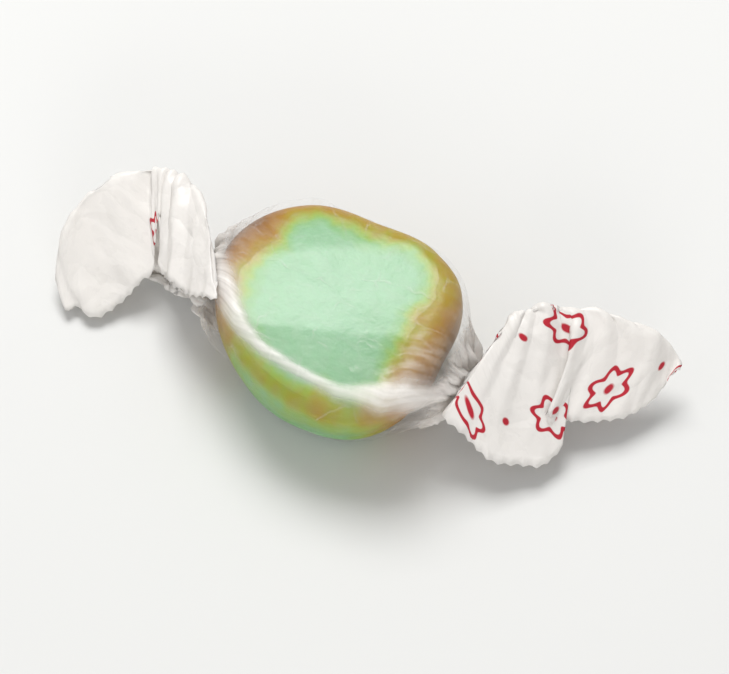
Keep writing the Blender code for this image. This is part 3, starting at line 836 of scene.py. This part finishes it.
def crinkleTree():
    # pushes loose paper in and out in cones with sharp valleys, as crumpled paper sets
    tree = bpy.data.node_groups.new("crinkledPaper", "GeometryNodeTree")
    tree.interface.new_socket("Geometry", in_out="INPUT", socket_type="NodeSocketGeometry")
    for name in crinkle:
        tree.interface.new_socket(name, in_out="INPUT", socket_type="NodeSocketFloat")
    tree.interface.new_socket("Paper", in_out="INPUT", socket_type="NodeSocketMaterial")
    tree.interface.new_socket("Geometry", in_out="OUTPUT", socket_type="NodeSocketGeometry")
    given = addNode(tree, "NodeGroupInput").outputs
    place = addNode(tree, "GeometryNodeInputNamedAttribute", {"Name": "flatPlace"},
                    data_type="FLOAT_VECTOR").outputs[0]
    loose = addNode(tree, "GeometryNodeInputNamedAttribute", {"Name": "loose"},
                    data_type="FLOAT").outputs[0]
    parts = addNode(tree, "ShaderNodeSeparateXYZ", {0: place}).outputs
    drawn = addRow(tree, maths, parts[0], ("DIVIDE", given["Stretch"]))
    moved = addNode(tree, "ShaderNodeCombineXYZ",
                    {0: drawn, 1: parts[1], 2: given["Seed"]}).outputs[0]
    swirl = addNode(tree, "ShaderNodeTexNoise", {"Vector": moved, "Scale": given["Swirl scale"]})
    bent = addRow(tree, vectorMaths, swirl.outputs["Color"],
                  ("MULTIPLY_ADD", given["Swirl"], moved))
    height = 0.0
    for kind, feature in (("Facet", "F1"), ("Crease", "F1"), ("Fold", "DISTANCE_TO_EDGE")):
        fine = addRow(tree, maths, 1.0, ("DIVIDE", given[kind + " size"]))
        cells = addNode(tree, "ShaderNodeTexVoronoi", {"Vector": bent, "Scale": fine},
                        feature=feature)
        height = addRow(tree, maths, given["Level"], ("SUBTRACT", cells.outputs["Distance"]),
                        ("MULTIPLY_ADD", given[kind + " depth"], height))
    metres = addRow(tree, maths, height, ("MULTIPLY", loose), ("MULTIPLY", mm))
    normal = addNode(tree, "GeometryNodeInputNormal").outputs[0]
    shift = addNode(tree, vectorMaths, {0: normal, "Scale": metres}, operation="SCALE").outputs[0]
    pushed = addNode(tree, "GeometryNodeSetPosition",
                     {"Geometry": given["Geometry"], "Offset": shift}).outputs[0]
    real = addNode(tree, "GeometryNodeRealizeInstances", {0: pushed}).outputs[0]
    painted = addNode(tree, "GeometryNodeSetMaterial",
                      {"Geometry": real, "Material": given["Paper"]}).outputs[0]
    addNode(tree, "NodeGroupOutput", {0: painted})
    return tree


def crinklePaper(piece):
    crumple = piece.modifiers.new("crinkle", "NODES")
    crumple.node_group = crinkleTree()
    values = {**crinkle, "Paper": waxedPaper()}
    for item in crumple.node_group.interface.items_tree:
        if item.in_out == "INPUT" and item.name in values:
            crumple[item.identifier] = values[item.name]


def paperObject():
    points, gap, ridge, loose, u, v = shapeSheet()
    points = cutTeeth(points)
    rows, columns = u.shape
    index = np.arange(rows * columns).reshape(rows, columns)
    quads = np.stack([index[:-1, :-1], index[1:, :-1], index[1:, 1:], index[:-1, 1:]], axis=-1)
    mesh = bpy.data.meshes.new("waxedPaper")
    mesh.from_pydata((points.reshape(-1, 3) * mm).tolist(), [], quads.reshape(-1, 4).tolist())
    for name, values in (("gap", gap), ("ridge", ridge), ("loose", loose)):
        layer = mesh.attributes.new(name, "FLOAT", "POINT")
        layer.data.foreach_set("value", values.astype(np.float32).ravel())
    layer = mesh.attributes.new("flatPlace", "FLOAT_VECTOR", "POINT")
    flat = np.stack([u, v, np.zeros_like(u)], axis=-1)
    layer.data.foreach_set("vector", flat.astype(np.float32).ravel())
    mesh.shade_smooth()
    made = bpy.data.objects.new("waxedPaper", mesh)
    bpy.context.scene.collection.objects.link(made)
    crinklePaper(made)
    thicken = made.modifiers.new("thickness", "SOLIDIFY")
    thicken.thickness = paper["thickness"] * mm
    thicken.offset = 0.0
    return made


def plainMesh(piece):
    # the evaluated mesh takes the place of the mesh and its modifiers
    graph = bpy.context.evaluated_depsgraph_get()
    mesh = bpy.data.meshes.new_from_object(piece.evaluated_get(graph))
    piece.modifiers.clear()
    piece.data = mesh


print("waxed paper")
wrap = paperObject()
plainMesh(wrap)

for piece, node, slot in ((core, "green_centre", "green_taffy"),
                          (rim, "caramel_rim", "caramel_taffy"),
                          (wrap, "wrapper", "waxed_paper")):
    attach(piece, "root")
    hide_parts(node)


# Floor, lights and camera, in metres and watts, with angles in degrees and the lens in millimetres
stage = {
    "extent": 1.2, "colour": "#d4d4d2", "rough": 0.8, "surround": 0.52, "aim": (0.0, 0.0, 0.007),
    "lights": {
        "window": {"place": (-0.15, 0.24, 0.46), "size": 0.26, "power": 2.7},
        "fill": {"place": (-0.35, -0.25, 0.30), "size": 0.5, "power": 0.2},
        "low": {"place": (0.22, -0.42, 0.10), "size": 0.3, "power": 1.0},
    },
}
view = {"azimuth": 24.0, "elevation": 62.0, "distance": 0.42, "lens": 205.0, "sensor": 36.0,
        "nearest": 0.01, "target": (0.0022, 0.0012, 0.0033)}


def setFloor():
    mesh = bpy.data.meshes.new("floor")
    extent = stage["extent"]
    mesh.from_pydata([(-extent, -extent, 0), (extent, -extent, 0), (extent, extent, 0),
                      (-extent, extent, 0)], [], [(0, 1, 2, 3)])
    floor = bpy.data.objects.new("floor", mesh)
    bpy.context.scene.collection.objects.link(floor)
    made, tree, shader = newMaterial("pale floor")
    fillInputs(tree, shader, {"Base Color": hexColour(stage["colour"]),
                              "Roughness": stage["rough"]})
    floor.data.materials.append(made)


def addLight(name, place, size, power):
    lamp = bpy.data.lights.new(name, "AREA")
    lamp.size = size
    lamp.energy = power
    made = bpy.data.objects.new(name, lamp)
    bpy.context.scene.collection.objects.link(made)
    made.location = place
    heading = Vector(stage["aim"]) - Vector(place)
    made.rotation_euler = heading.to_track_quat("-Z", "Y").to_euler()


def setSurround():
    world = bpy.data.worlds.new("studio")
    world.use_nodes = True
    fillInputs(world.node_tree, world.node_tree.nodes["Background"],
               {"Color": hexColour("#ffffff"), "Strength": stage["surround"]})
    bpy.context.scene.world = world


def setCamera():
    lens = bpy.data.cameras.new("camera")
    lens.lens = view["lens"]
    lens.sensor_width = view["sensor"]
    lens.clip_start = view["nearest"]
    made = bpy.data.objects.new("camera", lens)
    bpy.context.scene.collection.objects.link(made)
    azimuth = math.radians(view["azimuth"])
    elevation = math.radians(view["elevation"])
    away = Vector((math.sin(azimuth) * math.cos(elevation),
                   -math.cos(azimuth) * math.cos(elevation), math.sin(elevation)))
    made.location = Vector(view["target"]) + away * view["distance"]
    made.rotation_euler = (-away).to_track_quat("-Z", "Y").to_euler()
    bpy.context.scene.camera = made


print("stage, lights and camera")
setFloor()
for name, light in stage["lights"].items():
    addLight(name, **light)
setCamera()
setSurround()
bpy.context.scene.view_settings.view_transform = "Standard"
